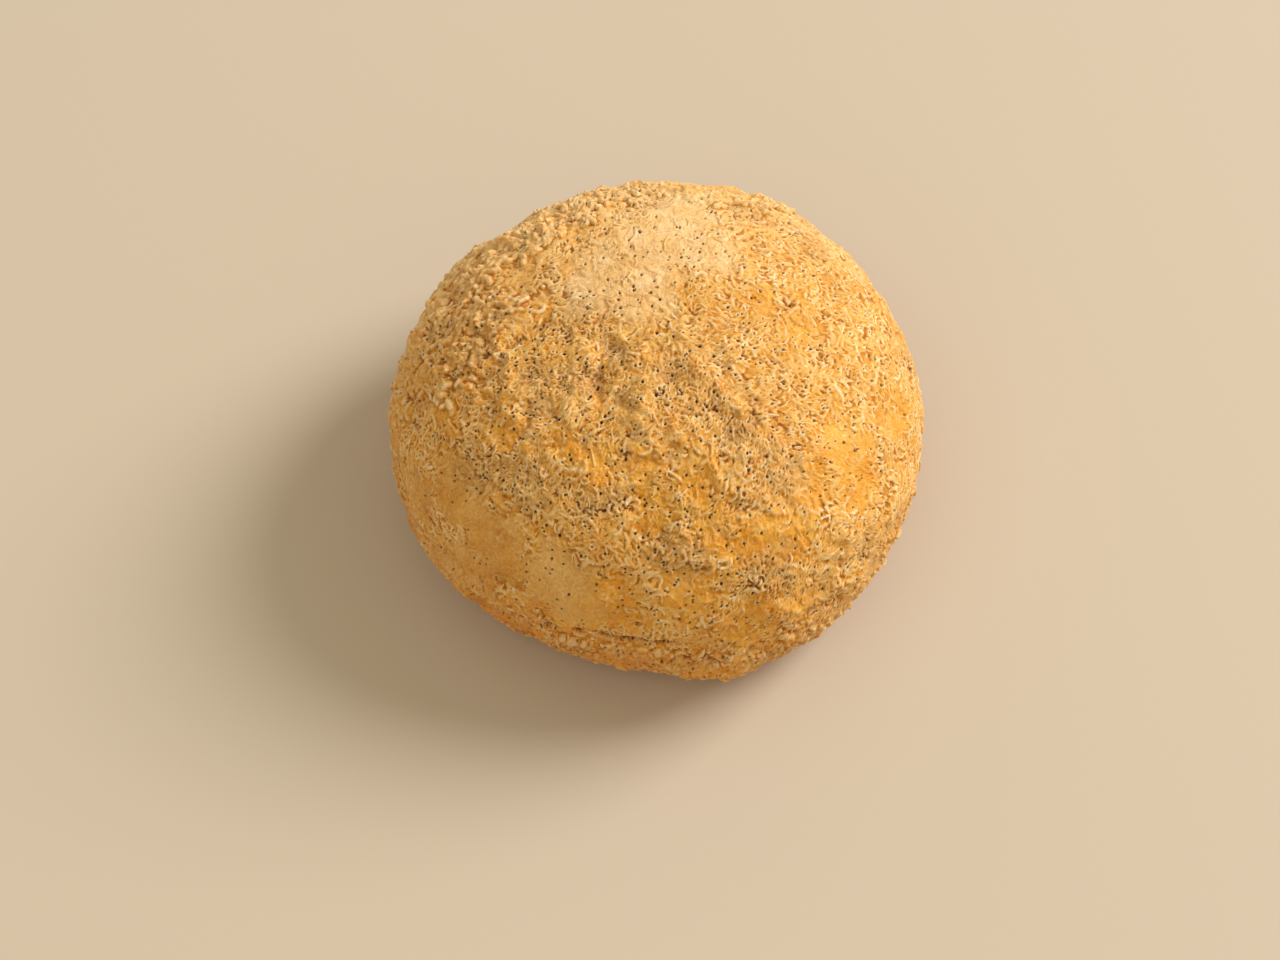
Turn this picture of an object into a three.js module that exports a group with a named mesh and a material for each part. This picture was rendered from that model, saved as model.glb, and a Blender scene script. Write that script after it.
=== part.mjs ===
// A round rice bread bun, baked in one piece: one solid, in millimetres, +Z up.
// The origin is the middle of the flat underside, under the centre of the bun's box.
// +X is the bun's right and -Y its front, where a lip of dough swells out over the foot.
import * as THREE from "three";

// Driving dimensions, in millimetres.
const WIDTH = 118.4; // mean width across the widest level
const HEIGHT = 64.5; // from the underside to the crown
const WAIST_HEIGHT = 23; // height of the widest level
const FOOT_WIDTH = 86; // mean width of the flat underside
const CROWN_FULLNESS = 2.15; // 2 is an ellipse; more is a squarer shoulder
const TUCK_FULLNESS = 2.0; // the same, for the curve that tucks in under the waist

// The bun seen from above isn't quite round: each wave has lobes that peak at its azimuth.
const OUTLINE_WAVES = [
  { lobes: 2, peak: -15, share: 0.0107 },
  { lobes: 3, peak: -55, share: 0.02 },
  { lobes: 4, peak: 14, share: 0.005 },
  { lobes: 5, peak: 4, share: 0.0058 },
];

// Broad swellings (+) and hollows (-) left by shaping and oven spring. Azimuth is in degrees from +X
// towards +Y, polar is in degrees down from the crown, and spread and rise are in millimetres.
const SWELLS = [
  { name: "crown", azimuth: 85, polar: 30, spread: 17, rise: 0.9 },
  { name: "left trough", azimuth: 195, polar: 26, spread: 9, rise: -1.1 },
  { name: "front ridge", azimuth: -48, polar: 42, spread: 14, rise: 0.9 },
  { name: "front hollow", azimuth: -95, polar: 60, spread: 9, rise: -1.0 },
  { name: "left cheek", azimuth: -140, polar: 68, spread: 15, rise: 0.9 },
  { name: "right shoulder", azimuth: 25, polar: 58, spread: 15, rise: 0.7 },
  { name: "foot lip", azimuth: -78, polar: 101, spread: 5.5, rise: 1.9 },
  { name: "foot hollow", azimuth: -96, polar: 103, spread: 6, rise: -0.5 },
];

// How finely the curved surface is stepped.
const SPOKES = 88;
const CROWN_RINGS = 28;
const TUCK_RINGS = 10;
const UNDERSIDE_RINGS = 2;

const radians = THREE.MathUtils.degToRad;
const waistRadius = WIDTH / 2;
const footRadius = FOOT_WIDTH / 2;
const waistCentre = new THREE.Vector3(0, 0, WAIST_HEIGHT);

// A quarter of a superellipse, from (1, 0) at share 0 to (0, 1) at share 1.
function quarterCurve(share, fullness) {
  const angle = (share * Math.PI) / 2;
  return [Math.cos(angle) ** (2 / fullness), Math.sin(angle) ** (2 / fullness)];
}

// The half section: out along the underside, round the tuck to the waist, and over the crown.
function halfSection() {
  const points = [];
  for (let i = 0; i < UNDERSIDE_RINGS; i++) {
    points.push(new THREE.Vector2((footRadius * i) / UNDERSIDE_RINGS, 0));
  }
  for (let i = 0; i < TUCK_RINGS; i++) {
    const [across, down] = quarterCurve(1 - i / TUCK_RINGS, TUCK_FULLNESS);
    const radius = footRadius + (waistRadius - footRadius) * across;
    points.push(new THREE.Vector2(radius, WAIST_HEIGHT * (1 - down)));
  }
  for (let i = 0; i <= CROWN_RINGS; i++) {
    const [across, up] = quarterCurve(i / CROWN_RINGS, CROWN_FULLNESS);
    points.push(new THREE.Vector2(waistRadius * across, WAIST_HEIGHT + (HEIGHT - WAIST_HEIGHT) * up));
  }
  points[0].x = 0;
  points.at(-1).x = 0;
  return points;
}

function outlineShare(azimuth) {
  return OUTLINE_WAVES.reduce(
    (sum, wave) => sum + wave.share * Math.cos(wave.lobes * (azimuth - radians(wave.peak))),
    1,
  );
}

// A point of the bun before its swellings, stretched from the round section to the outline.
function stretched(point) {
  const share = outlineShare(Math.atan2(point.y, point.x));
  return new THREE.Vector3(point.x * share, point.y * share, point.z);
}

// Where a swelling sits on the unswollen crust: out from the middle of the waist along its direction.
function swellCentre({ azimuth, polar }) {
  const out = new THREE.Vector3().setFromSphericalCoords(1, radians(polar), radians(90 + azimuth));
  const direction = new THREE.Vector3(out.x, -out.z, out.y);
  const across = Math.hypot(direction.x, direction.y);
  const reach = direction.z > 0 ? HEIGHT - WAIST_HEIGHT : WAIST_HEIGHT;
  const distance = 1 / Math.hypot(across / waistRadius, direction.z / reach);
  return direction.multiplyScalar(distance).add(waistCentre);
}

// Pushes a point out or in by the swellings near it. The underside stays flat.
function swollen(point) {
  const rise = SWELLS.reduce((sum, swell) => {
    const away = swellCentre(swell).distanceTo(point) / swell.spread;
    return sum + swell.rise * Math.exp(-0.5 * away * away);
  }, 0);
  const moved = point.clone().sub(waistCentre).normalize().multiplyScalar(rise).add(point);
  moved.z = point.z === 0 ? 0 : Math.max(0, moved.z);
  return moved;
}

function loafGeometry() {
  const geometry = new THREE.LatheGeometry(halfSection(), SPOKES);
  geometry.rotateX(Math.PI / 2);
  const position = geometry.getAttribute("position");
  const point = new THREE.Vector3();
  const flat = 1e-6;
  for (let i = 0; i < position.count; i++) {
    point.fromBufferAttribute(position, i);
    if (Math.abs(point.z) < flat) point.z = 0;
    const moved = swollen(stretched(point));
    position.setXYZ(i, moved.x, moved.y, moved.z);
  }
  geometry.computeBoundingBox();
  const centre = geometry.boundingBox.getCenter(new THREE.Vector3());
  geometry.translate(-centre.x, -centre.y, 0);
  geometry.computeVertexNormals();
  return geometry;
}

const crust = new THREE.MeshStandardMaterial({ color: 0xd9a75e, roughness: 0.78, metalness: 0 });

const loaf = new THREE.Mesh(loafGeometry(), crust);
loaf.name = "loaf";

const bun = new THREE.Group();
bun.add(loaf);

export default bun;
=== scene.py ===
"""Looks for a round rice bread bun: one dense crust with strands, crumbs, pores and waxy spots."""

import math
from typing import NamedTuple

import bpy
import numpy as np
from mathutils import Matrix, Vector
from mathutils.bvhtree import BVHTree


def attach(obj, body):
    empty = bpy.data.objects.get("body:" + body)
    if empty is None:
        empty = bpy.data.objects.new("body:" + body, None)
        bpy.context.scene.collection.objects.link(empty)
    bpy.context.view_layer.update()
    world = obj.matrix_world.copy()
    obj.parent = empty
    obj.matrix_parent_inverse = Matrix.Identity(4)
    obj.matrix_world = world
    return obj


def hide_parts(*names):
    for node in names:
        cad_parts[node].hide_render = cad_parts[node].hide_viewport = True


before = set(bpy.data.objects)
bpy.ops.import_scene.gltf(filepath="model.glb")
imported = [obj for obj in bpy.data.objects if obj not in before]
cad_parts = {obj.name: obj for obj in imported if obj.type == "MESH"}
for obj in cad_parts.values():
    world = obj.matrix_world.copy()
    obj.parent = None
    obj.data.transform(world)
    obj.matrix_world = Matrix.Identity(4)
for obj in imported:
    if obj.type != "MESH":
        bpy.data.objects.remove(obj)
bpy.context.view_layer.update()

MM = 0.001  # the lists below are in millimetres
POINTS_ACROSS = 801  # along each side of the square sheet that is wrapped over the bun
HEART_HEIGHT = 23.0  # of the point inside the bun that the crust is laid out around
SEED = 20
WIDEST_DAB = 14  # points of the sheet; a wider dab is left out
DAB_BATCH = 4_000_000  # points worked on at once, to save memory
SEAM_WIDTH = 1.0  # a crease narrower than this opens in a row of pores
PORE_COUNT = 3600
PORE_RADIUS, PORE_SPREAD = 0.24, 0.16  # the smallest pore, and how much wider the widest is
PORE_RIM = 0.38  # how far a pore's pale rim reaches beyond it
PORE_DEPTH = 0.55
WOOL_CEILING = 1.8  # the strands flatten out towards this height over the dough
RING_PITCH = 0.55  # the widest step between the underside's rings
FLAT_BASE_REACH = 43.0  # the underside's dimples fade out this far from its middle
CAMERA_ELEVATION = 61.0  # degrees
CAMERA_DISTANCE = 0.565  # metres
POLAR_STEP, AZIMUTH_STEP = 2.0, 3.0  # degrees between the entries of the skin's table

# Spots on the crust, as (x, y, z, radius) in millimetres on the bun.
PEACH_SPOTS = [  # pale, floury and nearly smooth, round the crown's back
    (0, 22, 63, 14), (-4, 8, 65, 9), (5, 33, 60, 10), (-12, 12, 63, 9), (10, 20, 63, 9),
]
WAXY_SPOTS = [  # bald, waxy patches, most of them low on the left of the front
    (-40, -34, 44, 8), (-34, -42, 41, 10), (-26, -47, 40, 9), (-44, -28, 44, 6), (-20, -51, 38, 8),
    (-50, -24, 36, 7), (-42, -42, 32, 8), (40, 38, 30, 10), (-30, 48, 26, 10), (-54, 22, 24, 9),
    (51, -33, 24, 9), (45, -42, 20, 8), (-38, -46, 22, 8), (-47, -36, 24, 8), (-53, -24, 24, 7),
]
POOL_SPOTS = [  # golden, waxy pools between the strands
    (12, -42, 53, 6), (26, -42, 49, 7), (7, -52, 44, 7), (43, -26, 48, 8), (38, -22, 54, 6),
    (-10, -52, 41, 6), (17, -45, 50, 5), (-20, -26, 58, 4), (-12, -31, 58, 5), (0, -38, 55, 6),
    (-33, -21, 56, 4), (-2, -32, 59, 4), (34, -31, 52, 6), (7, -34, 58, 5), (50, -10, 42, 7),
    (22, 8, 62, 4), (30, 2, 60, 4), (20, -55, 34, 7), (32, -50, 34, 5), (50, 20, 34, 8),
    (10, 52, 38, 8), (-20, 52, 36, 7), (-56, -4, 28, 7), (-17, -54, 33, 7), (-10, -55, 37, 7),
    (-24, -51, 33, 5),
]
# The finish gives these patches a dull grey tint and paints shade in their crevices.
ASHEN_AND_SHADE_SPOTS = [  # grey-brown hollows where the strands are dull
    (-24, -17, 60, 3), (-26, -10, 60, 4), (-8, -6, 64, 3), (-7, -18, 62, 3.5), (-21, 1, 62, 3),
    (2, -46, 50, 4), (28, -32, 55, 4), (-48, 9, 49, 4), (-31, -30, 53, 5), (-25, -34, 53, 5),
    (-40, -27, 50, 5), (-14, -37, 54, 5), (7, -48, 48, 5), (45, -38, 36, 4), (24, -47, 47, 5),
    (35, -48, 34, 4), (-18, 5, 63, 4), (-33, 7, 58, 4), (-38, -1, 56, 4), (16, -24, 61, 4),
    (2, -11, 64, 3), (-15, -12, 62, 4), (0, 46, 50, 5), (30, 40, 42, 6), (-40, 36, 34, 6),
]
CRUMBLY_SPOTS = [  # thick curls and crumbs, at the back and left and along the front of the foot
    (-50, 11, 46, 9), (-43, 19, 49, 9), (-35, 29, 51, 9), (-26, 32, 53, 8), (-15, 39, 53, 7),
    (-4, 44, 52, 7), (10, 43, 53, 7), (-36, 9, 56, 8), (-45, -1, 52, 8), (-54, 2, 38, 9),
    (24, 42, 48, 6), (-46, 30, 34, 10), (-20, 48, 42, 8), (-28, -51, 19, 4), (-18, -56, 22, 4),
    (-6, -59, 22, 4), (8, -60, 20, 6), (18, -58, 24, 5), (30, -53, 22, 5),
]
SHAGGY_SPOTS = [  # the roughest wool, most of it across the front of the crown
    (-12, -8, 64, 13), (-22, -18, 60, 13), (0, -22, 62, 14), (14, -20, 62, 11), (-30, -26, 55, 11),
    (-8, -34, 58, 10), (8, -8, 65, 10), (24, -30, 57, 9), (-36, -10, 56, 11), (6, -44, 51, 8),
    (40, -40, 42, 6), (26, -50, 40, 7), (-36, 4, 57, 8), (-5, 50, 40, 9), (52, 10, 36, 8),
]

# Folds that run over the crust: their points, half width and rise, which is negative for a crease.
FOLDS = [
    ([(-14, -4, 63), (-18, -13, 61), (-19, -23, 59), (-14, -31, 57)], 2.2, 0.8),
    ([(-8, -1, 64), (-2, -12, 64), (-4, -22, 62), (-1, -30, 60)], 2.0, 0.6),
    ([(7, -6, 65), (13, -18, 63), (21, -27, 59), (30, -35, 52), (36, -39, 45)], 2.6, 0.7),
    ([(9, -30, 60), (17, -37, 56), (28, -39, 51)], 1.8, 0.7),
    ([(-21, 8, 62), (-27, 2, 60), (-36, -7, 57), (-40, -12, 54)], 2.4, -0.9),
    ([(-29, -6, 59), (-33, -14, 57), (-29, -23, 57)], 2.0, 0.9),
    ([(-11, -2, 64), (-12, -12, 63), (-12, -22, 62)], 1.8, -0.6),
    ([(48, -34, 32), (42, -44, 31), (28, -52, 34), (17, -55, 37)], 2.4, 0.8),
    ([(-28, -50, 21), (-19, -53, 28), (-10, -56, 30), (-2, -58, 30), (9, -58, 31)], 0.9, -1.3),
    ([(-27, -52, 17), (-18, -56, 24), (-8, -59, 26), (4, -60, 26)], 1.7, 1.2),
    ([(-23, -50, 39), (-16, -53, 37), (-8, -54, 39)], 4.2, 1.3),
    ([(2, -60, 19), (9, -60, 17), (16, -58, 17), (22, -56, 19)], 2.2, 1.3),
]


class Strands(NamedTuple):
    """One kind of strand; each pair is the least and the most, in millimetres."""

    count: int
    width: tuple
    length: tuple
    lift: tuple  # how high its foot stands over the dough
    rise: tuple
    stray: float  # how far its heading strays from the flow of the dough
    curl: float
    flatness: float  # low for a flat top with steep sides


CURLS = Strands(4400, (1.0, 2.3), (0.7, 3.4), (0.0, 0.50), (0.60, 1.20), 1.0, 0.45, 0.34)
GRAINS = Strands(9500, (0.80, 1.45), (1.2, 4.4), (0.0, 0.28), (0.34, 0.54), 0.50, 0.50, 0.40)
THREADS = Strands(15000, (0.56, 0.95), (1.0, 3.8), (0.0, 0.30), (0.32, 0.48), 0.42, 0.60, 0.45)
HAIRS = Strands(12000, (0.40, 0.56), (1.0, 3.4), (0.10, 0.50), (0.24, 0.36), 0.50, 0.60, 0.50)
FLAKES = Strands(1100, (0.8, 1.9), (0.6, 2.2), (0.1, 0.50), (0.50, 1.10), 1.5, 0.50, 0.55)
STRAY_HAIRS = Strands(900, (0.36, 0.50), (2.0, 6.5), (0.10, 0.30), (0.20, 0.34), 1.5, 0.30, 0.60)


class Crumbs(NamedTuple):
    """One kind of crumb; each pair is the least and the most, in millimetres."""

    count: int
    radius: tuple
    rise: tuple


WOOL_CRUMBS = Crumbs(3600, (0.3, 0.62), (0.2, 0.6))  # loose among the strands
FOOT_CRUMBS = Crumbs(1200, (0.4, 0.8), (0.2, 0.7))  # low on the sides and in the crumbly band

# The finish's marks on the underside; those not listed are 0 there.
UNDERSIDE_MARKS = {"crest": 0.5, "hollow": 0.5, "tone": 0.5, "groove_shade": 0.3, "low": 1.0}


def square_sheet(points):
    """Fits a square sheet of points to a disc; returns each point's reach, 0 to 1, and azimuth."""
    side = np.linspace(-1.0, 1.0, points)
    a, b = np.meshgrid(side, side, indexing="ij")
    wide = np.abs(a) > np.abs(b)
    reach = np.where(wide, a, b)
    safe = np.where(reach == 0.0, 1.0, reach)
    turn = np.where(wide, np.pi / 4 * b / safe, np.pi / 2 - np.pi / 4 * a / safe)
    return np.abs(reach), np.arctan2(reach * np.sin(turn), reach * np.cos(turn))


def unit(vectors):
    """The same directions at a length of one."""
    return vectors / np.maximum(np.linalg.norm(vectors, axis=-1, keepdims=True), 1e-12)


def smooth_step(low, high, value):
    """Rises from 0 at low to 1 at high without corners; it falls if low is the larger."""
    share = np.clip((value - low) / (high - low), 0.0, 1.0)
    return share * share * (3.0 - 2.0 * share)


def soften(field, cells):
    """Blurs a grid of values with a bell curve that many cells wide."""
    pad = int(4 * cells) + 1
    wide = np.pad(field, pad, mode="edge")
    waves = np.fft.rfft2(wide)
    fy = np.fft.fftfreq(wide.shape[0])[:, None]
    fx = np.fft.rfftfreq(wide.shape[1])[None, :]
    waves *= np.exp(-2.0 * (np.pi * cells) ** 2 * (fx * fx + fy * fy))
    return np.fft.irfft2(waves, s=wide.shape)[pad:-pad, pad:-pad]


def waviness(places, size, seed):
    """Smooth random values from about -1 to 1 over points in space, in swells of that size."""
    lattice = np.random.default_rng(seed).uniform(-1.0, 1.0, (32, 32, 32))
    spot = places / size + 100.0
    cell = np.floor(spot).astype(int)
    part = spot - cell
    part = part * part * part * (part * (part * 6.0 - 15.0) + 10.0)
    total = np.zeros(places.shape[:-1])
    for corner in range(8):
        step = np.array([corner & 1, corner >> 1 & 1, corner >> 2 & 1])
        share = np.prod(np.where(step == 1, part, 1.0 - part), axis=-1)
        at = (cell + step) % 32
        total += share * lattice[at[..., 0], at[..., 1], at[..., 2]]
    return total * 1.6


def spots(places, listed, seed, ragged=1.0):
    """How far each point is inside the listed spots, 0 to 1, with more or less ragged edges."""
    frayed = ragged * (0.30 * waviness(places, 4.0, seed) + 0.16 * waviness(places, 1.7, seed + 1))
    core = 0.62 - 0.25 * (1.0 - ragged)
    inside = np.zeros(places.shape[:-1])
    for x, y, z, radius in listed:
        away = np.linalg.norm(places - np.array([x, y, z]), axis=-1) / radius
        inside = np.maximum(inside, 1.0 - smooth_step(core, 1.25, away + frayed))
    return inside


def cad_skin():
    """The CAD bun's surface as a table of reach from its heart, by polar angle and azimuth."""
    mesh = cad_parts["loaf"].data
    co = np.empty(len(mesh.vertices) * 3)
    mesh.vertices.foreach_get("co", co)
    co = co.reshape(-1, 3) / MM
    tree = BVHTree.FromPolygons([Vector(c) for c in co], [p.vertices[:] for p in mesh.polygons])
    flat = co[co[:, 2] < 1e-3]
    rim = flat[np.hypot(flat[:, 0], flat[:, 1]) > 0.8 * np.hypot(flat[:, 0], flat[:, 1]).max()]
    order = np.argsort(np.arctan2(rim[:, 1], rim[:, 0]))
    rim_azimuth = np.arctan2(rim[order, 1], rim[order, 0])
    rim_polar = np.pi - np.arctan2(np.hypot(rim[order, 0], rim[order, 1]), HEART_HEIGHT)
    polars = np.radians(np.arange(0.0, 126.0, POLAR_STEP))
    azimuths = np.radians(np.arange(0.0, 360.0, AZIMUTH_STEP))
    heart = Vector((0.0, 0.0, HEART_HEIGHT))
    reach = np.empty((len(polars), len(azimuths)))
    for i, polar in enumerate(polars):
        for j, azimuth in enumerate(azimuths):
            across = math.sin(polar)
            way = Vector((across * math.cos(azimuth), across * math.sin(azimuth), math.cos(polar)))
            reach[i, j] = tree.ray_cast(heart, way)[3]
    for _ in range(2):
        reach = (np.roll(reach, 1, 1) + 2.0 * reach + np.roll(reach, -1, 1)) / 4.0
    return reach, rim_azimuth, rim_polar


def from_table(table, row, column):
    """Reads a table between its entries on smooth curves; its columns go all the way round."""
    def weights(part):
        return (
            ((-0.5 * part + 1.0) * part - 0.5) * part,
            (1.5 * part - 2.5) * part * part + 1.0,
            ((-1.5 * part + 2.0) * part + 0.5) * part,
            (0.5 * part - 0.5) * part * part,
        )

    r0, c0 = np.floor(row).astype(int), np.floor(column).astype(int)
    across, down = weights(column - c0), weights(row - r0)
    total = np.zeros(row.shape)
    for i in range(4):
        r = np.clip(r0 + i - 1, 0, table.shape[0] - 1)
        for j in range(4):
            total += down[i] * across[j] * table[r, (c0 + j - 1) % table.shape[1]]
    return total


class Crust:
    """The bun's skin as a square sheet of points wrapped over the dome, down to the foot."""

    def __init__(self, points):
        self.points = points
        out, azimuth = square_sheet(points)
        reach, rim_azimuth, rim_polar = cad_skin()
        foot = np.interp(azimuth, rim_azimuth, rim_polar, period=2.0 * np.pi)
        polar = out * foot
        row, column = np.degrees(polar) / POLAR_STEP, np.degrees(azimuth) % 360.0 / AZIMUTH_STEP
        distance = from_table(reach, row, column)
        way = np.stack(
            [np.sin(polar) * np.cos(azimuth), np.sin(polar) * np.sin(azimuth), np.cos(polar)], -1
        )
        self.place = way * distance[..., None]
        self.place[..., 2] += HEART_HEIGHT
        self.along = np.gradient(self.place, axis=0)
        self.aside = np.gradient(self.place, axis=1)
        self.normal = unit(np.cross(self.along, self.aside))
        self.area = np.linalg.norm(np.cross(self.along, self.aside), axis=-1)
        aa = (self.along**2).sum(-1)
        bb = (self.aside**2).sum(-1)
        ab = (self.along * self.aside).sum(-1)
        det = aa * bb - ab * ab
        self.solve = np.stack([bb / det, -ab / det, aa / det], -1)
        self.foot_fade = smooth_step(0.0, 2.2, self.place[..., 2])

    def scatter(self, rng, count, density):
        """Picks that many random places on the sheet, more of them where the density is high."""
        odds = (self.area * density).ravel()
        total = np.cumsum(odds)
        picked = np.searchsorted(total, rng.uniform(0.0, total[-1], count))
        spot = np.stack([picked // self.points, picked % self.points], -1).astype(float)
        return spot + rng.uniform(-0.5, 0.5, spot.shape)

    def near(self, spot):
        """The grid's own points nearest to the given ones."""
        at = np.clip(np.rint(spot).astype(int), 0, self.points - 1)
        return at[:, 0], at[:, 1]

    def exact(self, spot):
        """The place in space of points between the grid's own."""
        i, j = self.near(spot)
        off = spot - np.stack([i, j], -1)
        return self.place[i, j] + self.along[i, j] * off[:, :1] + self.aside[i, j] * off[:, 1:]

    def walk(self, spot, heading, length):
        """Moves points along the skin by a length each, and keeps each heading on the skin."""
        i, j = self.near(spot)
        normal = self.normal[i, j]
        heading = unit(heading - normal * (heading * normal).sum(-1, keepdims=True))
        ha = (heading * self.along[i, j]).sum(-1)
        hb = (heading * self.aside[i, j]).sum(-1)
        solve = self.solve[i, j]
        step = np.stack(
            [solve[:, 0] * ha + solve[:, 1] * hb, solve[:, 1] * ha + solve[:, 2] * hb], -1
        )
        return spot + step * np.reshape(length, (-1, 1)), heading


def steer(crust, spot, flow, angle):
    """A heading along the skin at an angle from the local flow of the dough."""
    i, j = crust.near(spot)
    normal = crust.normal[i, j]
    ahead = unit(flow[i, j] - normal * (flow[i, j] * normal).sum(-1, keepdims=True))
    left = np.cross(normal, ahead)
    return ahead * np.cos(angle)[:, None] + left * np.sin(angle)[:, None]


class Relief:
    """Height over the smooth skin, built up from rounded dabs where the highest one shows."""

    def __init__(self, crust):
        self.crust = crust
        self.height = np.zeros(crust.place.shape[:2])
        self.tone = np.zeros(crust.place.shape[:2])
        self.edge = np.ones(crust.place.shape[:2])

    def dab(self, centre, spot, radius, lift, rise, tone, sharpness):
        """Lays rounded dabs: each stands on its lift and rises from there to its middle."""
        crust = self.crust
        i, j = crust.near(spot)
        cell = np.minimum(
            np.linalg.norm(crust.along[i, j], axis=-1), np.linalg.norm(crust.aside[i, j], axis=-1)
        )
        window = np.ceil(radius / cell).astype(int)
        last = crust.points - 1
        keep = (window < WIDEST_DAB) & (i > 0) & (j > 0) & (i < last) & (j < last)
        for size in np.unique(window[keep]):
            chosen = np.flatnonzero(keep & (window == size))
            reach = np.arange(-size, size + 1)
            di, dj = (g.ravel() for g in np.meshgrid(reach, reach, indexing="ij"))
            for part in np.array_split(chosen, len(chosen) * len(di) // DAB_BATCH + 1):
                ii = np.clip(i[part, None] + di, 0, last)
                jj = np.clip(j[part, None] + dj, 0, last)
                away = crust.place[ii, jj] - centre[part, None]
                share = (away**2).sum(-1) / (radius[part, None] ** 2)
                inside = share < 1.0
                flat = (ii * crust.points + jj)[inside]
                dome = np.maximum(1.0 - share, 0.0) ** sharpness
                height = (lift[part, None] + rise[part, None] * dome)[inside]
                top = self.height.reshape(-1)
                np.maximum.at(top, flat, height)
                won = height >= top[flat] - 1e-9
                shade = np.broadcast_to(tone[part, None], share.shape)[inside]
                self.tone.reshape(-1)[flat[won]] = shade[won]
                self.edge.reshape(-1)[flat[won]] = np.sqrt(share[inside][won])

    def strands(self, rng, kind, density, flow, scale):
        """Lays short curling strands of one kind; scale lowers them by place."""
        crust, count = self.crust, kind.count
        spot = crust.scatter(rng, count, density)
        i, j = crust.near(spot)
        size = scale[i, j]
        half = 0.5 * rng.uniform(*kind.width, count)
        reach = rng.uniform(*kind.length, count)
        base = rng.uniform(*kind.lift, count) * size
        high = rng.uniform(*kind.rise, count) * size
        tone = rng.uniform(-1.0, 1.0, count)
        bend = rng.normal(0.0, kind.curl, count)
        wriggle = rng.normal(0.0, kind.curl * 0.8, count)
        phase = rng.uniform(0.0, 2.0 * np.pi, count)
        heading = steer(crust, spot, flow, rng.normal(0.0, kind.stray, count))
        stride = 0.55 * half
        steps = np.ceil(reach / stride).astype(int)
        for step in range(int(steps.max())):
            live = np.flatnonzero(step < steps)
            part = (step + 0.5) / steps[live]
            taper = np.minimum(1.0, 0.55 + 2.2 * np.minimum(part, 1.0 - part))
            i, j = crust.near(spot[live])
            normal = crust.normal[i, j]
            turn = bend[live] + wriggle[live] * np.sin(2.5 * step * stride[live] + phase[live])
            turn = (turn * stride[live])[:, None]
            ahead = heading[live]
            ahead = ahead * np.cos(turn) + np.cross(normal, ahead) * np.sin(turn)
            self.dab(
                crust.exact(spot[live]), spot[live], half[live] * taper, base[live],
                high[live] * (0.75 + 0.25 * taper), tone[live], kind.flatness,
            )
            spot[live], heading[live] = crust.walk(spot[live], ahead, stride[live])

    def crumbs(self, rng, kind, density, scale):
        """Lays loose round crumbs of one kind."""
        count = kind.count
        spot = self.crust.scatter(rng, count, density)
        i, j = self.crust.near(spot)
        size = rng.uniform(*kind.radius, count)
        high = (0.6 * size + rng.uniform(*kind.rise, count)) * scale[i, j]
        tone = rng.uniform(-0.5, 1.0, count)
        self.dab(self.crust.exact(spot), spot, size, np.zeros(count), high, tone, 0.8)


def distance_to_path(places, path):
    """Distance from points to a path of straight stretches, and how far along it they are."""
    path = np.array(path, float)
    best = np.full(places.shape[:-1], np.inf)
    share = np.zeros(places.shape[:-1])
    for k, (start, end) in enumerate(zip(path[:-1], path[1:])):
        line = end - start
        t = np.clip(((places - start) @ line) / (line @ line), 0.0, 1.0)
        away = np.linalg.norm(places - (start + t[..., None] * line), axis=-1)
        share = np.where(away < best, (k + t) / (len(path) - 1), share)
        best = np.minimum(best, away)
    return best, share


def folds(places):
    """The ridges and creases, wandering a little and fading at both ends, and the narrow seams."""
    shift = np.stack([waviness(places, 5.0, SEED + k) for k in (40, 41, 42)], -1) * 1.2
    total = np.zeros(places.shape[:-1])
    seams = np.zeros(places.shape[:-1])
    for path, half_width, rise in FOLDS:
        away, share = distance_to_path(places + shift, path)
        fade = np.clip(4.0 * np.minimum(share, 1.0 - share) + 0.25, 0.0, 1.0)
        bell = fade * np.exp(-((away / half_width) ** 2))
        total += rise * bell
        if rise < 0.0 and half_width < SEAM_WIDTH:
            seams = np.maximum(seams, bell)
    return total, seams


def pores(crust, rng, density):
    """Round pits: returns how deep in a pit each point is, and how near to a pit's rim."""
    spot = np.rint(crust.scatter(rng, PORE_COUNT, density))
    size = PORE_RADIUS + PORE_SPREAD * rng.uniform(0.0, 1.0, PORE_COUNT) ** 1.5
    zero = np.zeros(PORE_COUNT)
    pits, rims = Relief(crust), Relief(crust)
    pits.dab(crust.exact(spot), spot, size, zero, zero + 1.0, zero, 0.8)
    rims.dab(crust.exact(spot), spot, size + PORE_RIM, zero, zero + 1.0, zero, 0.8)
    beyond_pit = 1.0 - np.clip(2.0 * pits.height, 0.0, 1.0)
    return pits.height, np.clip(1.6 * rims.height, 0.0, 1.0) * beyond_pit


class Zones(NamedTuple):
    """How far inside each kind of patch every point of the crust is, 0 to 1."""

    peach: np.ndarray
    waxy: np.ndarray
    pool: np.ndarray
    ashen_and_shade: np.ndarray
    crumbly: np.ndarray
    smooth: np.ndarray  # any patch that lies nearly bald
    rough: np.ndarray  # wool or crumbs, and less of it where the crust is smooth
    low: np.ndarray  # the band round the foot
    right_front: np.ndarray


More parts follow.
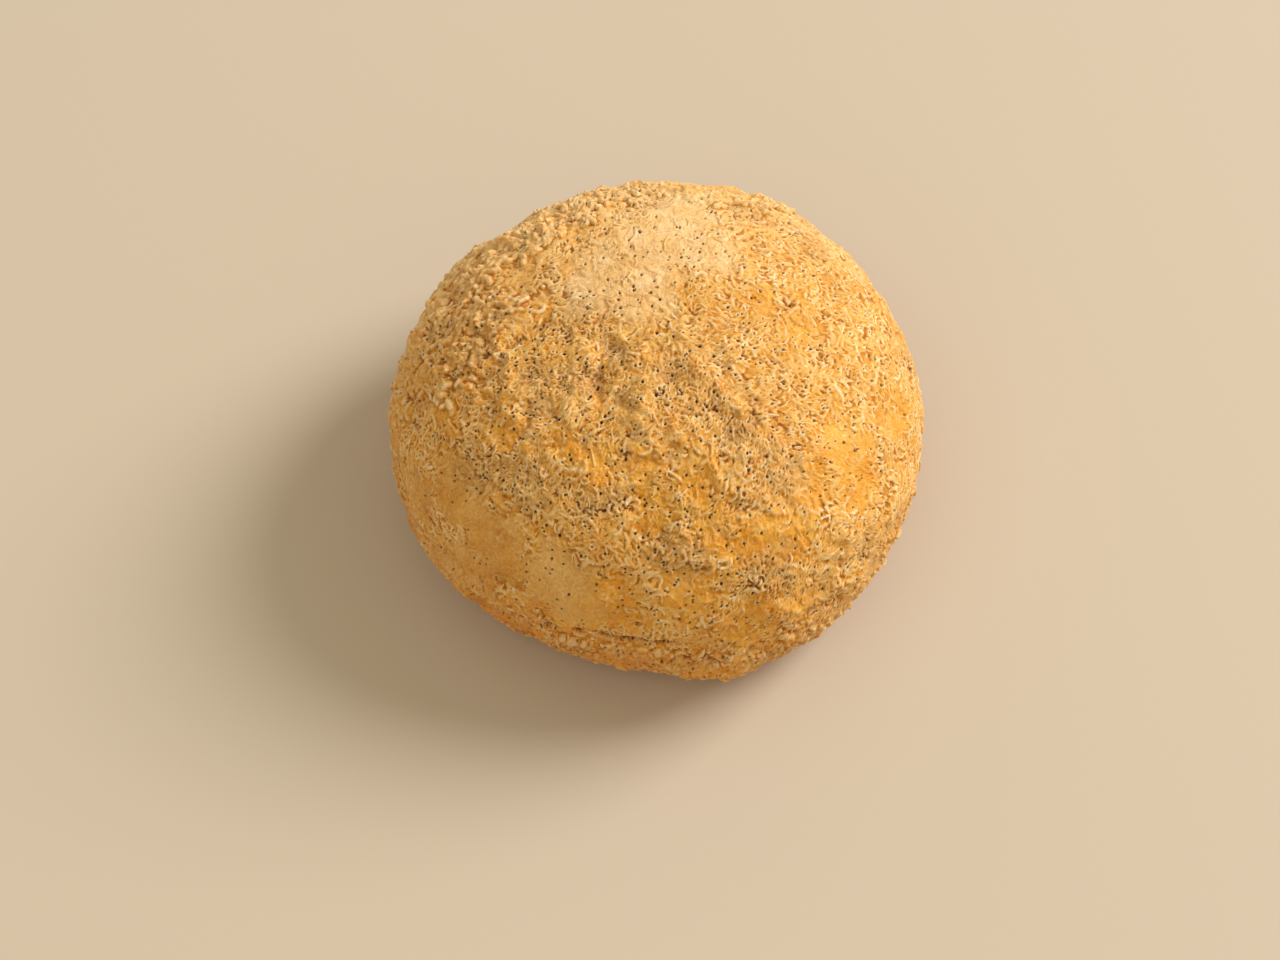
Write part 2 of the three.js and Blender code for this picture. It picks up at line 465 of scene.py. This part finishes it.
def lay_zones(place):
    """Lays out the listed patches, and more pools and grey-brown shaded hollows on the far and
    lower sides.
    """
    peach = spots(place, PEACH_SPOTS, SEED + 1, 0.5)
    waxy = spots(place, WAXY_SPOTS, SEED + 3)
    pool = spots(place, POOL_SPOTS, SEED + 5) * (0.75 + 0.25 * waviness(place, 1.4, SEED + 6))
    ashen_and_shade = spots(place, ASHEN_AND_SHADE_SPOTS, SEED + 7)
    crumbly = spots(place, CRUMBLY_SPOTS, SEED + 9)
    shaggy = spots(place, SHAGGY_SPOTS, SEED + 11)
    far_side = np.maximum(
        smooth_step(8.0, 32.0, place[..., 1]), smooth_step(30.0, 18.0, place[..., 2])
    )
    right_front = smooth_step(-5.0, 35.0, place[..., 0]) * smooth_step(20.0, -20.0, place[..., 1])
    drift = waviness(place, 9.0, SEED + 13)
    pool = np.maximum(pool, 0.9 * far_side * smooth_step(0.45, 0.75, drift))
    ashen_and_shade = np.maximum(ashen_and_shade, 0.6 * far_side * smooth_step(-0.50, -0.80, drift))
    calm = smooth_step(0.25, 0.7, waviness(place, 5.0, SEED + 14)) * (1.0 - shaggy) * 0.6
    smooth = np.maximum.reduce([0.95 * peach, waxy, pool, calm]).clip(0.0, 1.0)
    rough = np.clip(np.maximum(shaggy, 0.8 * crumbly), 0.0, 1.0) * (1.0 - 0.7 * smooth)
    low = smooth_step(32.0, 22.0, place[..., 2]) * smooth_step(3.0, 8.0, place[..., 2])
    low *= 1.0 - 0.6 * right_front
    return Zones(peach, waxy, pool, ashen_and_shade, crumbly, smooth, rough, low, right_front)


def dough_lumps(place, zones):
    """The swells of the dough under its strands."""
    lumps = 0.36 * waviness(place, 9.0, SEED + 20) + 0.22 * waviness(place, 4.2, SEED + 21)
    lumps *= 1.0 - 0.8 * zones.peach
    lumps += zones.rough * (
        0.30 * waviness(place, 2.8, SEED + 22) + 0.20 * waviness(place, 1.6, SEED + 23)
    )
    lumps += 0.10 * waviness(place, 1.6, SEED + 24)
    lumps += 0.22 * zones.low * waviness(place, 3.4, SEED + 25)
    lumps += 0.16 * zones.crumbly * waviness(place, 0.9, SEED + 26)
    return lumps - 0.20 * zones.ashen_and_shade


def lay_wool(crust, rng, zones):
    """Lays every strand and crumb; returns their relief, and how tall they grow by place."""
    place, smooth, rough, crumbly = crust.place, zones.smooth, zones.rough, zones.crumbly
    flow = np.stack([waviness(place, 4.5, SEED + k) for k in (30, 31, 32)], -1)
    flow += np.array([0.15, -0.2, 0.0])
    patch = waviness(place, 6.0, SEED + 15)
    bare = 1.0 - 0.85 * smooth
    dense = bare * (1.0 - 0.92 * crumbly) * (0.7 + 0.9 * rough)
    scale = np.clip(0.80 + 0.30 * rough, 0.0, 1.1) * (1.0 - 0.84 * smooth)
    curl_scale = np.clip(0.25 + 0.90 * crumbly + 0.15 * rough, 0.0, 1.2) * bare
    foot_scale = 0.6 + 0.4 * scale

    relief = Relief(crust)
    relief.strands(rng, CURLS, bare * (0.05 + crumbly), flow, curl_scale)
    relief.strands(rng, GRAINS, dense * (0.15 + smooth_step(-0.25, 0.4, patch)), flow, scale)
    relief.strands(rng, THREADS, dense, flow, scale)
    hairy = dense * smooth_step(0.2, -0.4, patch) + 0.12
    relief.strands(rng, HAIRS, hairy, flow, scale + 0.06 * smooth)
    strayed = 0.3 + zones.pool + 0.5 * zones.waxy
    relief.strands(rng, STRAY_HAIRS, strayed, flow, 0.6 + 0.4 * rough)
    relief.crumbs(rng, WOOL_CRUMBS, bare * (0.25 + rough + crumbly), scale)
    relief.crumbs(rng, FOOT_CRUMBS, zones.low + 0.5 * crumbly, foot_scale)
    relief.strands(rng, FLAKES, zones.low, flow, foot_scale)
    return relief, scale


def build_crust():
    """Shapes the crust and returns it with the marks that its finish is painted by."""
    rng = np.random.default_rng(SEED)
    crust = Crust(POINTS_ACROSS)
    place = crust.place
    zones = lay_zones(place)
    peach, waxy, crumbly, low = zones.peach, zones.waxy, zones.crumbly, zones.low
    lumps = dough_lumps(place, zones)
    relief, scale = lay_wool(crust, rng, zones)
    ceiling = WOOL_CEILING - 0.3 * np.clip(crumbly + 0.5 * low, 0.0, 1.0)
    wool = ceiling * np.tanh(relief.height / ceiling)
    lines, seams = folds(place)
    gaps = smooth_step(0.72, 0.95, seams * (0.80 + 0.35 * waviness(place, 1.6, SEED + 27)))
    pore_odds = 0.8 + 0.4 * zones.ashen_and_shade + 0.6 * low - 0.35 * waxy + 14.0 * seams**2
    pits, rims = pores(crust, rng, pore_odds)
    broken = np.clip(crumbly + 0.3 * low, 0.0, 1.0) * waviness(place, 1.1, SEED + 28)
    broken += 0.5 * crumbly * waviness(place, 0.6, SEED + 29)
    height = lumps + lines + wool * (1.0 + 0.26 * broken) + 0.05 * broken - PORE_DEPTH * pits
    height = (height - height.mean()) * crust.foot_fade

    fine = wool - soften(wool, 2.2)
    fine /= np.sqrt(soften(fine * fine, 14.0)) + 0.015
    broad = height - soften(height, 12.0)
    back = place[..., 1] - 0.25 * place[..., 0]
    marks = {
        # crest: how far a point stands above the strands round it, with pale rims round the pores;
        # the finish paints highlight where it is high and shade where it is low
        "crest": np.clip(0.5 + 0.27 * fine + 0.2 * rims, 0.0, 1.0),
        # the edges of the strands and the bare gaps between them, where the finish paints shade
        "groove_shade": smooth_step(0.50, 0.95, relief.edge) * np.clip(1.25 * scale, 0.15, 1.0),
        # the broad low places of the relief, where the finish paints shade
        "hollow": np.clip(0.5 - 0.55 * broad, 0.0, 1.0),
        # the pits and the narrowest creases, which the finish paints near black as shade
        "pore": np.maximum(smooth_step(0.2, 0.7, pits), 0.9 * gaps),
        "ground": smooth_step(0.10, 0.0, wool) * (1.0 - zones.smooth),
        "rough": zones.rough,
        "peach": peach,
        "waxy": waxy,
        "pool": np.clip(zones.pool, 0.0, 1.0),
        "ashen_and_shade": zones.ashen_and_shade,
        "low": smooth_step(34.0, 14.0, place[..., 2]) * (1.0 - 0.7 * zones.right_front),
        # paler towards the back of the crown, most on the crests: a painted sheen
        "back_sheen": smooth_step(4.0, 42.0, back) * (1.0 - low),
        "tone": 0.5 + 0.5 * relief.tone,
    }
    skin = place + crust.normal * height[..., None]
    skin[..., 2] = np.maximum(skin[..., 2], 0.0)
    return crust, skin, marks


def sheet_faces(points):
    """The four corners of each cell of the sheet."""
    index = np.arange(points * points).reshape(points, points)
    a, b = index[:-1, :-1].ravel(), index[1:, :-1].ravel()
    c, d = index[1:, 1:].ravel(), index[:-1, 1:].ravel()
    return np.stack([a, b, c, d], -1)


def rim_loop(points):
    """The sheet's edge points, once round."""
    index = np.arange(points * points).reshape(points, points)
    return np.concatenate([index[:-1, 0], index[-1, :-1], index[:0:-1, -1], index[0, :0:-1]])


def underside(rim, first):
    """Rings of points that step inwards from the rim to one middle point, thinned where they crowd.

    Returns the points; each ring's outer and inner indices and whether it is thinned; and the
    middle point's index.
    """
    middle = np.array([rim[:, 0].mean(), rim[:, 1].mean(), 0.0])
    rings, steps, start = [], [], first
    outer_index, outer = None, rim
    while len(outer) > 16:
        radius = np.linalg.norm(outer - middle, axis=-1).mean()
        crowd = 2.0 * np.pi * radius / len(outer)
        thin = crowd < 0.5 * RING_PITCH and len(outer) % 2 == 0
        step = min(max(crowd * 1.2, 0.12), RING_PITCH)
        share = (radius - step) / radius
        if radius - step < 1.0:
            break
        inner = middle + ((outer[::2] if thin else outer) - middle) * share
        n = len(inner)
        mine = start + np.arange(n)
        start += n
        rings.append(inner)
        steps.append((outer_index, mine, thin))
        outer_index, outer = mine, inner
    rings.append(middle[None, :])
    return np.concatenate(rings), steps, start


def foot_faces(rim_index, steps, middle):
    """Quads and triangles between the rings of the underside."""
    quads, triangles = [], []
    for outer, inner, thin in steps:
        outer = rim_index if outer is None else outer
        ahead = np.roll(inner, -1)
        if thin:
            a, b, c = outer[::2], outer[1::2], np.roll(outer, -1)[1::2]
            corners = ((a, inner, b), (b, inner, ahead), (b, ahead, c))
            triangles += [np.stack(corner, -1) for corner in corners]
        else:
            quads.append(np.stack([outer, inner, ahead, np.roll(outer, -1)], -1))
    last = steps[-1][1]
    triangles.append(np.stack([np.roll(last, -1), last, np.full(len(last), middle)], -1))
    return np.concatenate(quads), np.concatenate(triangles)


def make_bun():
    """One closed mesh: the crust and the flat, faintly dimpled underside it was baked on."""
    crust, skin, marks = build_crust()
    points = crust.points
    rim_index = rim_loop(points)
    flat_skin = skin.reshape(-1, 3)
    flat_skin[rim_index, 2] = 0.0
    rim = flat_skin[rim_index]
    rings, steps, middle = underside(rim, len(flat_skin))
    inward = smooth_step(0.0, 3.0, FLAT_BASE_REACH - np.linalg.norm(rings, axis=-1))
    dimple = 0.22 + 0.14 * waviness(rings, 3.0, SEED + 50) + 0.10 * waviness(rings, 1.3, SEED + 51)
    rings[:, 2] = np.maximum(0.0, dimple) * inward
    places = np.concatenate([flat_skin, rings]) * MM
    quads, triangles = foot_faces(rim_index, steps, middle)
    dome = sheet_faces(points)
    loops = np.concatenate([dome.ravel(), quads.ravel(), triangles.ravel()])
    sizes = np.concatenate([np.full(len(dome) + len(quads), 4), np.full(len(triangles), 3)])
    mesh = bpy.data.meshes.new("bun")
    mesh.vertices.add(len(places))
    mesh.vertices.foreach_set("co", places.ravel())
    mesh.loops.add(len(loops))
    mesh.loops.foreach_set("vertex_index", loops.astype(np.int32))
    mesh.polygons.add(len(sizes))
    starts = np.concatenate([[0], np.cumsum(sizes)[:-1]])
    mesh.polygons.foreach_set("loop_start", starts.astype(np.int32))
    mesh.update(calc_edges=True)
    mesh.shade_smooth()

    # The crust takes the upper part of the map, and the underside a small square under it.
    side = (np.arange(points) + 0.5) / points
    u, v = np.meshgrid(side, side, indexing="ij")
    on_crust = np.stack([0.004 + 0.992 * u.ravel(), 0.164 + 0.832 * v.ravel()], -1)
    on_foot = 0.08 + np.concatenate([flat_skin, rings])[:, :2] / 44.0 * 0.07
    corners = np.concatenate([on_crust[loops[: dome.size]], on_foot[loops[dome.size :]]])
    mesh.uv_layers.new(name="OFBake").data.foreach_set("uv", corners.ravel())
    for name, value in marks.items():
        below = np.full(len(rings), UNDERSIDE_MARKS.get(name, 0.0))
        layer = mesh.attributes.new(name, "FLOAT", "POINT")
        layer.data.foreach_set("value", np.concatenate([value.ravel(), below]).astype(np.float32))
    bun = bpy.data.objects.new("bun", mesh)
    bpy.context.scene.collection.objects.link(bun)
    return bun


def linear(red, green, blue):
    """A colour given as screen values from 0 to 255, made linear."""
    share = np.array([red, green, blue]) / 255.0
    low, high = share / 12.92, ((share + 0.055) / 1.055) ** 2.4
    return (*np.where(share <= 0.04045, low, high), 1.0)


class Nodes:
    """Short ways to add and join the nodes of one material; a value may be a number or a socket."""

    def __init__(self, name):
        self.material = bpy.data.materials.new(name)
        self.material.use_nodes = True
        self.tree = self.material.node_tree
        self.tree.nodes.clear()

    def add(self, kind, **settings):
        """A new node of that kind with its settings."""
        node = self.tree.nodes.new(kind)
        for key, value in settings.items():
            setattr(node, key, value)
        return node

    def put(self, socket, value):
        """Joins another node's output to the input socket, or sets a plain value on it."""
        if isinstance(value, bpy.types.NodeSocket):
            self.tree.links.new(value, socket)
        else:
            socket.default_value = value

    def mark(self, name):
        """One of the marks stored on the crust."""
        return self.add("ShaderNodeAttribute", attribute_name=name).outputs["Fac"]

    def math(self, operation, first, second=0.0):
        """One step of arithmetic on one or two values."""
        node = self.add("ShaderNodeMath", operation=operation)
        self.put(node.inputs[0], first)
        self.put(node.inputs[1], second)
        return node.outputs[0]

    def span(self, value, low, high, to_low=0.0, to_high=1.0):
        """The value carried smoothly from one range over to another."""
        node = self.add("ShaderNodeMapRange", interpolation_type="SMOOTHSTEP")
        for key, given in (
            ("Value", value), ("From Min", low), ("From Max", high),
            ("To Min", to_low), ("To Max", to_high),
        ):
            self.put(node.inputs[key], given)
        return node.outputs["Result"]

    def blend(self, share, first, second, mode="MIX"):
        """The first colour with that share of the second laid over it."""
        node = self.add("ShaderNodeMix", data_type="RGBA", blend_type=mode)
        self.put(node.inputs["Factor"], share)
        self.put(node.inputs[6], first)
        self.put(node.inputs[7], second)
        return node.outputs[2]

    def noise(self, where, scale, detail=3.0, roughness=0.55, distortion=0.0):
        """Cloudy noise, its scale in swells to the metre."""
        node = self.add("ShaderNodeTexNoise")
        for key, value in (
            ("Vector", where), ("Scale", scale), ("Detail", detail),
            ("Roughness", roughness), ("Distortion", distortion),
        ):
            self.put(node.inputs[key], value)
        return node.outputs["Fac"]


def crust_texture(n, where):
    """The crust's fine grain, and the faint wrinkles that swirl over its smooth patches."""
    grain = n.noise(where, 1700.0, 3.0, 0.7)
    swirl = n.noise(where, 420.0, 1.0, 0.4, 0.6)
    wrinkle = n.span(n.math("SINE", n.math("MULTIPLY", swirl, 30.0)), 0.1, 1.0)
    smooth = n.span(n.math("MAXIMUM", n.mark("peach"), n.mark("waxy")), 0.0, 1.0, 0.6, 0.9)
    return grain, n.math("MULTIPLY", smooth, wrinkle)


def crust_colour(n, where, grain, wrinkles):
    """Baked rice crust: golden pools, waxy and floury patches and fine specks; painted highlight on
    the pale crests; painted shade in the amber and brown crevices, the gaps between strands, the
    broad hollows, the near-black pores and over the shaggy wool; grey-brown patches partly tint and
    partly painted shade; a painted sheen at the back.
    """
    crest, hollow, pore = n.mark("crest"), n.mark("hollow"), n.mark("pore")
    peach, waxy, pool = n.mark("peach"), n.mark("waxy"), n.mark("pool")
    ashen_and_shade, tone, groove_shade = n.mark("ashen_and_shade"), n.mark("tone"), n.mark("groove_shade")
    low, ground, rough = n.mark("low"), n.mark("ground"), n.mark("rough")
    mottle = n.span(n.noise(where, 190.0), 0.32, 0.68)
    drift = n.span(n.noise(where, 60.0), 0.30, 0.70)

    amber = n.blend(drift, linear(190, 113, 8), linear(214, 141, 20))
    honey = n.blend(mottle, amber, linear(226, 154, 34))
    straw = n.blend(mottle, linear(223, 158, 56), linear(227, 178, 98))
    pale = n.blend(tone, linear(226, 178, 102), linear(238, 215, 172))
    # Dark brown used only as painted shade, in the gaps between strands and the deepest crevices.
    shade_brown = n.blend(drift, linear(122, 66, 8), linear(150, 88, 18))
    gold = n.blend(mottle, linear(226, 150, 30), linear(234, 170, 62))
    wax = n.blend(drift, linear(215, 148, 46), linear(227, 184, 114))
    wax = n.blend(n.math("MULTIPLY", mottle, 0.4), wax, linear(230, 182, 106))
    flour = n.blend(mottle, linear(232, 184, 118), linear(240, 200, 144))
    ash = n.blend(crest, linear(122, 86, 40), linear(214, 168, 104))

    # The crust's own straw and amber, laid out by the crest: paler on the crests and deeper amber
    # in the crevices, partly painted highlight and shade.
    body = n.blend(n.span(crest, 0.20, 0.56), amber, straw)
    body = n.blend(n.math("MULTIPLY", ground, 0.8), body, honey)
    # Painted highlight: the crests turn pale cream, less so on the foot.
    light = n.math("MULTIPLY", n.span(crest, 0.50, 0.78), n.span(low, 0.1, 0.9, 1.0, 0.6))
    body = n.blend(light, body, pale)
    # Painted shade at the edges of the strands and in the gaps between them.
    crease = n.blend(n.math("MULTIPLY", rough, 0.6), amber, shade_brown)
    body = n.blend(n.math("MULTIPLY", groove_shade, n.span(rough, 0.0, 0.8, 0.70, 0.92)), body, crease)
    # Painted shade: deep brown where the crest is lowest in the rough wool.
    deep = n.math("MULTIPLY", n.span(crest, 0.34, 0.06), n.span(rough, 0.0, 0.8, 0.32, 0.95))
    body = n.blend(deep, body, shade_brown)
    # Painted shade: the shaggy wool a little darker all over.
    body = n.blend(n.math("MULTIPLY", rough, 0.3), body, linear(236, 226, 216), "MULTIPLY")
    body = n.blend(n.math("MULTIPLY", pool, n.span(crest, 0.98, 0.70)), body, gold)
    body = n.blend(n.math("MULTIPLY", waxy, 0.80), body, wax)
    # Painted sheen: paler towards the back of the crown, most on the crests.
    sheen_share = n.math("MULTIPLY", n.mark("back_sheen"), n.span(crest, 0.15, 0.55, 0.0, 0.58))
    body = n.blend(sheen_share, body, linear(241, 200, 138))
    body = n.blend(n.math("MULTIPLY", peach, n.span(crest, 0.0, 0.5, 0.40, 0.94)), body, flour)
    # Grey-brown patches: a dull grey tint on the crests, and painted shade in their crevices.
    body = n.blend(n.math("MULTIPLY", ashen_and_shade, 0.42), body, ash)
    body = n.blend(n.math("MULTIPLY", wrinkles, 0.34), body, linear(204, 130, 42))
    # Painted shade: darker in the broad hollows of the crust, less in the pools.
    sunk_shade = n.math("MULTIPLY", hollow, n.span(pool, 0.0, 1.0, 1.0, 0.7))
    body = n.blend(n.span(sunk_shade, 0.55, 0.95, 0.0, 0.40), body, linear(160, 96, 30), "MULTIPLY")
    body = n.blend(n.math("MULTIPLY", low, 0.36), body, linear(236, 184, 80), "MULTIPLY")
    cloud = n.span(n.noise(where, 95.0, 2.0), 0.36, 0.64, 0.55, 0.0)
    cloud = n.math("MULTIPLY", cloud, n.span(peach, 0.0, 0.6, 1.0, 0.2))
    body = n.blend(cloud, body, linear(238, 228, 206), "MULTIPLY")
    speckle = n.span(rough, 0.0, 0.8, 0.27, 0.50)
    light_speck = n.math("MULTIPLY", n.span(grain, 0.50, 0.72), speckle)
    dark_speck = n.math("MULTIPLY", n.span(grain, 0.48, 0.28), speckle)
    body = n.blend(light_speck, body, linear(250, 220, 170))
    body = n.blend(dark_speck, body, linear(190, 120, 36))
    # Painted shade: near black in the pits and along the narrowest creases.
    return n.blend(pore, body, linear(40, 20, 8))


def crust_finish():
    """The crust's material: its colours, waxy shine, faint sheen and fine grain."""
    n = Nodes("rice crust")
    where = n.add("ShaderNodeTexCoord").outputs["Object"]
    grain, wrinkles = crust_texture(n, where)
    shader = n.add("ShaderNodeBsdfPrincipled")
    n.put(shader.inputs["Base Color"], crust_colour(n, where, grain, wrinkles))
    shine = n.math("MAXIMUM", n.mark("pool"), n.math("MULTIPLY", n.mark("waxy"), 0.7))
    n.put(shader.inputs["Roughness"], n.span(shine, 0.0, 1.0, 0.72, 0.50))
    shader.inputs["Specular IOR Level"].default_value = 0.18
    shader.inputs["Sheen Weight"].default_value = 0.10
    shader.inputs["Sheen Roughness"].default_value = 0.5
    shader.inputs["Sheen Tint"].default_value = (1.0, 0.90, 0.72, 1.0)
    shader.inputs["Subsurface Weight"].default_value = 0.15
    shader.inputs["Subsurface Radius"].default_value = (1.0, 0.45, 0.18)
    shader.inputs["Subsurface Scale"].default_value = 0.0010
    bump = n.add("ShaderNodeBump")
    bump.inputs["Strength"].default_value = 0.65
    bump.inputs["Distance"].default_value = 0.00016
    n.put(bump.inputs["Height"], n.math("ADD", grain, n.math("MULTIPLY", wrinkles, -0.6)))
    n.put(shader.inputs["Normal"], bump.outputs["Normal"])
    out = n.add("ShaderNodeOutputMaterial")
    n.put(out.inputs["Surface"], shader.outputs["BSDF"])
    return n.material


def plain_finish(name, colour, roughness):
    """One even colour, as on a painted board."""
    n = Nodes(name)
    shader = n.add("ShaderNodeBsdfPrincipled")
    shader.inputs["Base Color"].default_value = colour
    shader.inputs["Roughness"].default_value = roughness
    out = n.add("ShaderNodeOutputMaterial")
    n.put(out.inputs["Surface"], shader.outputs["BSDF"])
    return n.material


def lay_floor():
    """The studio's plain pale floor."""
    bpy.ops.mesh.primitive_plane_add(size=6.0)
    floor = bpy.context.object
    floor.name = "floor"
    floor.data.materials.append(plain_finish("pale floor", linear(199, 180, 157), 0.8))


def soft_lamp(name, place, size, power, colour):
    """A round soft lamp that faces the bun."""
    data = bpy.data.lights.new(name, "AREA")
    data.shape = "DISK"
    data.size = size
    data.energy = power
    data.color = colour
    lamp = bpy.data.objects.new(name, data)
    lamp.location = place
    lamp.rotation_euler = (-Vector(place)).to_track_quat("-Z", "Y").to_euler()
    bpy.context.scene.collection.objects.link(lamp)


def light_studio():
    """A strong lamp at the right and behind, a weak one at the front left, and warm room light."""
    soft_lamp("window light", (2.50, 1.10, 2.05), 1.8, 126.0, (0.98, 1.01, 1.06))
    soft_lamp("fill light", (-0.5, -0.7, 1.2), 1.2, 3.0, (1.0, 0.96, 0.92))
    world = bpy.data.worlds.new("studio")
    world.use_nodes = True
    world.node_tree.nodes["Background"].inputs["Color"].default_value = (1.0, 0.95, 0.74, 1.0)
    world.node_tree.nodes["Background"].inputs["Strength"].default_value = 0.53
    bpy.context.scene.world = world
    bpy.context.scene.view_settings.view_transform = "Standard"


def set_camera():
    """Looks down on the bun from its front."""
    elevation = math.radians(CAMERA_ELEVATION)
    back = Vector((0.0, -math.cos(elevation), math.sin(elevation)))
    up = Vector((0.0, math.sin(elevation), math.cos(elevation)))
    aim = Vector((-0.0037, 0.0, 0.022)) - up * 0.0122
    data = bpy.data.cameras.new("camera")
    data.lens = 70.0
    data.sensor_width = 36.0
    data.clip_start = 0.01
    camera = bpy.data.objects.new("camera", data)
    camera.location = aim + back * CAMERA_DISTANCE
    camera.rotation_euler = (-back).to_track_quat("-Z", "Y").to_euler()
    bpy.context.scene.collection.objects.link(camera)
    bpy.context.scene.camera = camera


bun = make_bun()
bun.data.materials.append(crust_finish())
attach(bun, "root")
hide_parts("loaf")
lay_floor()
light_studio()
set_camera()
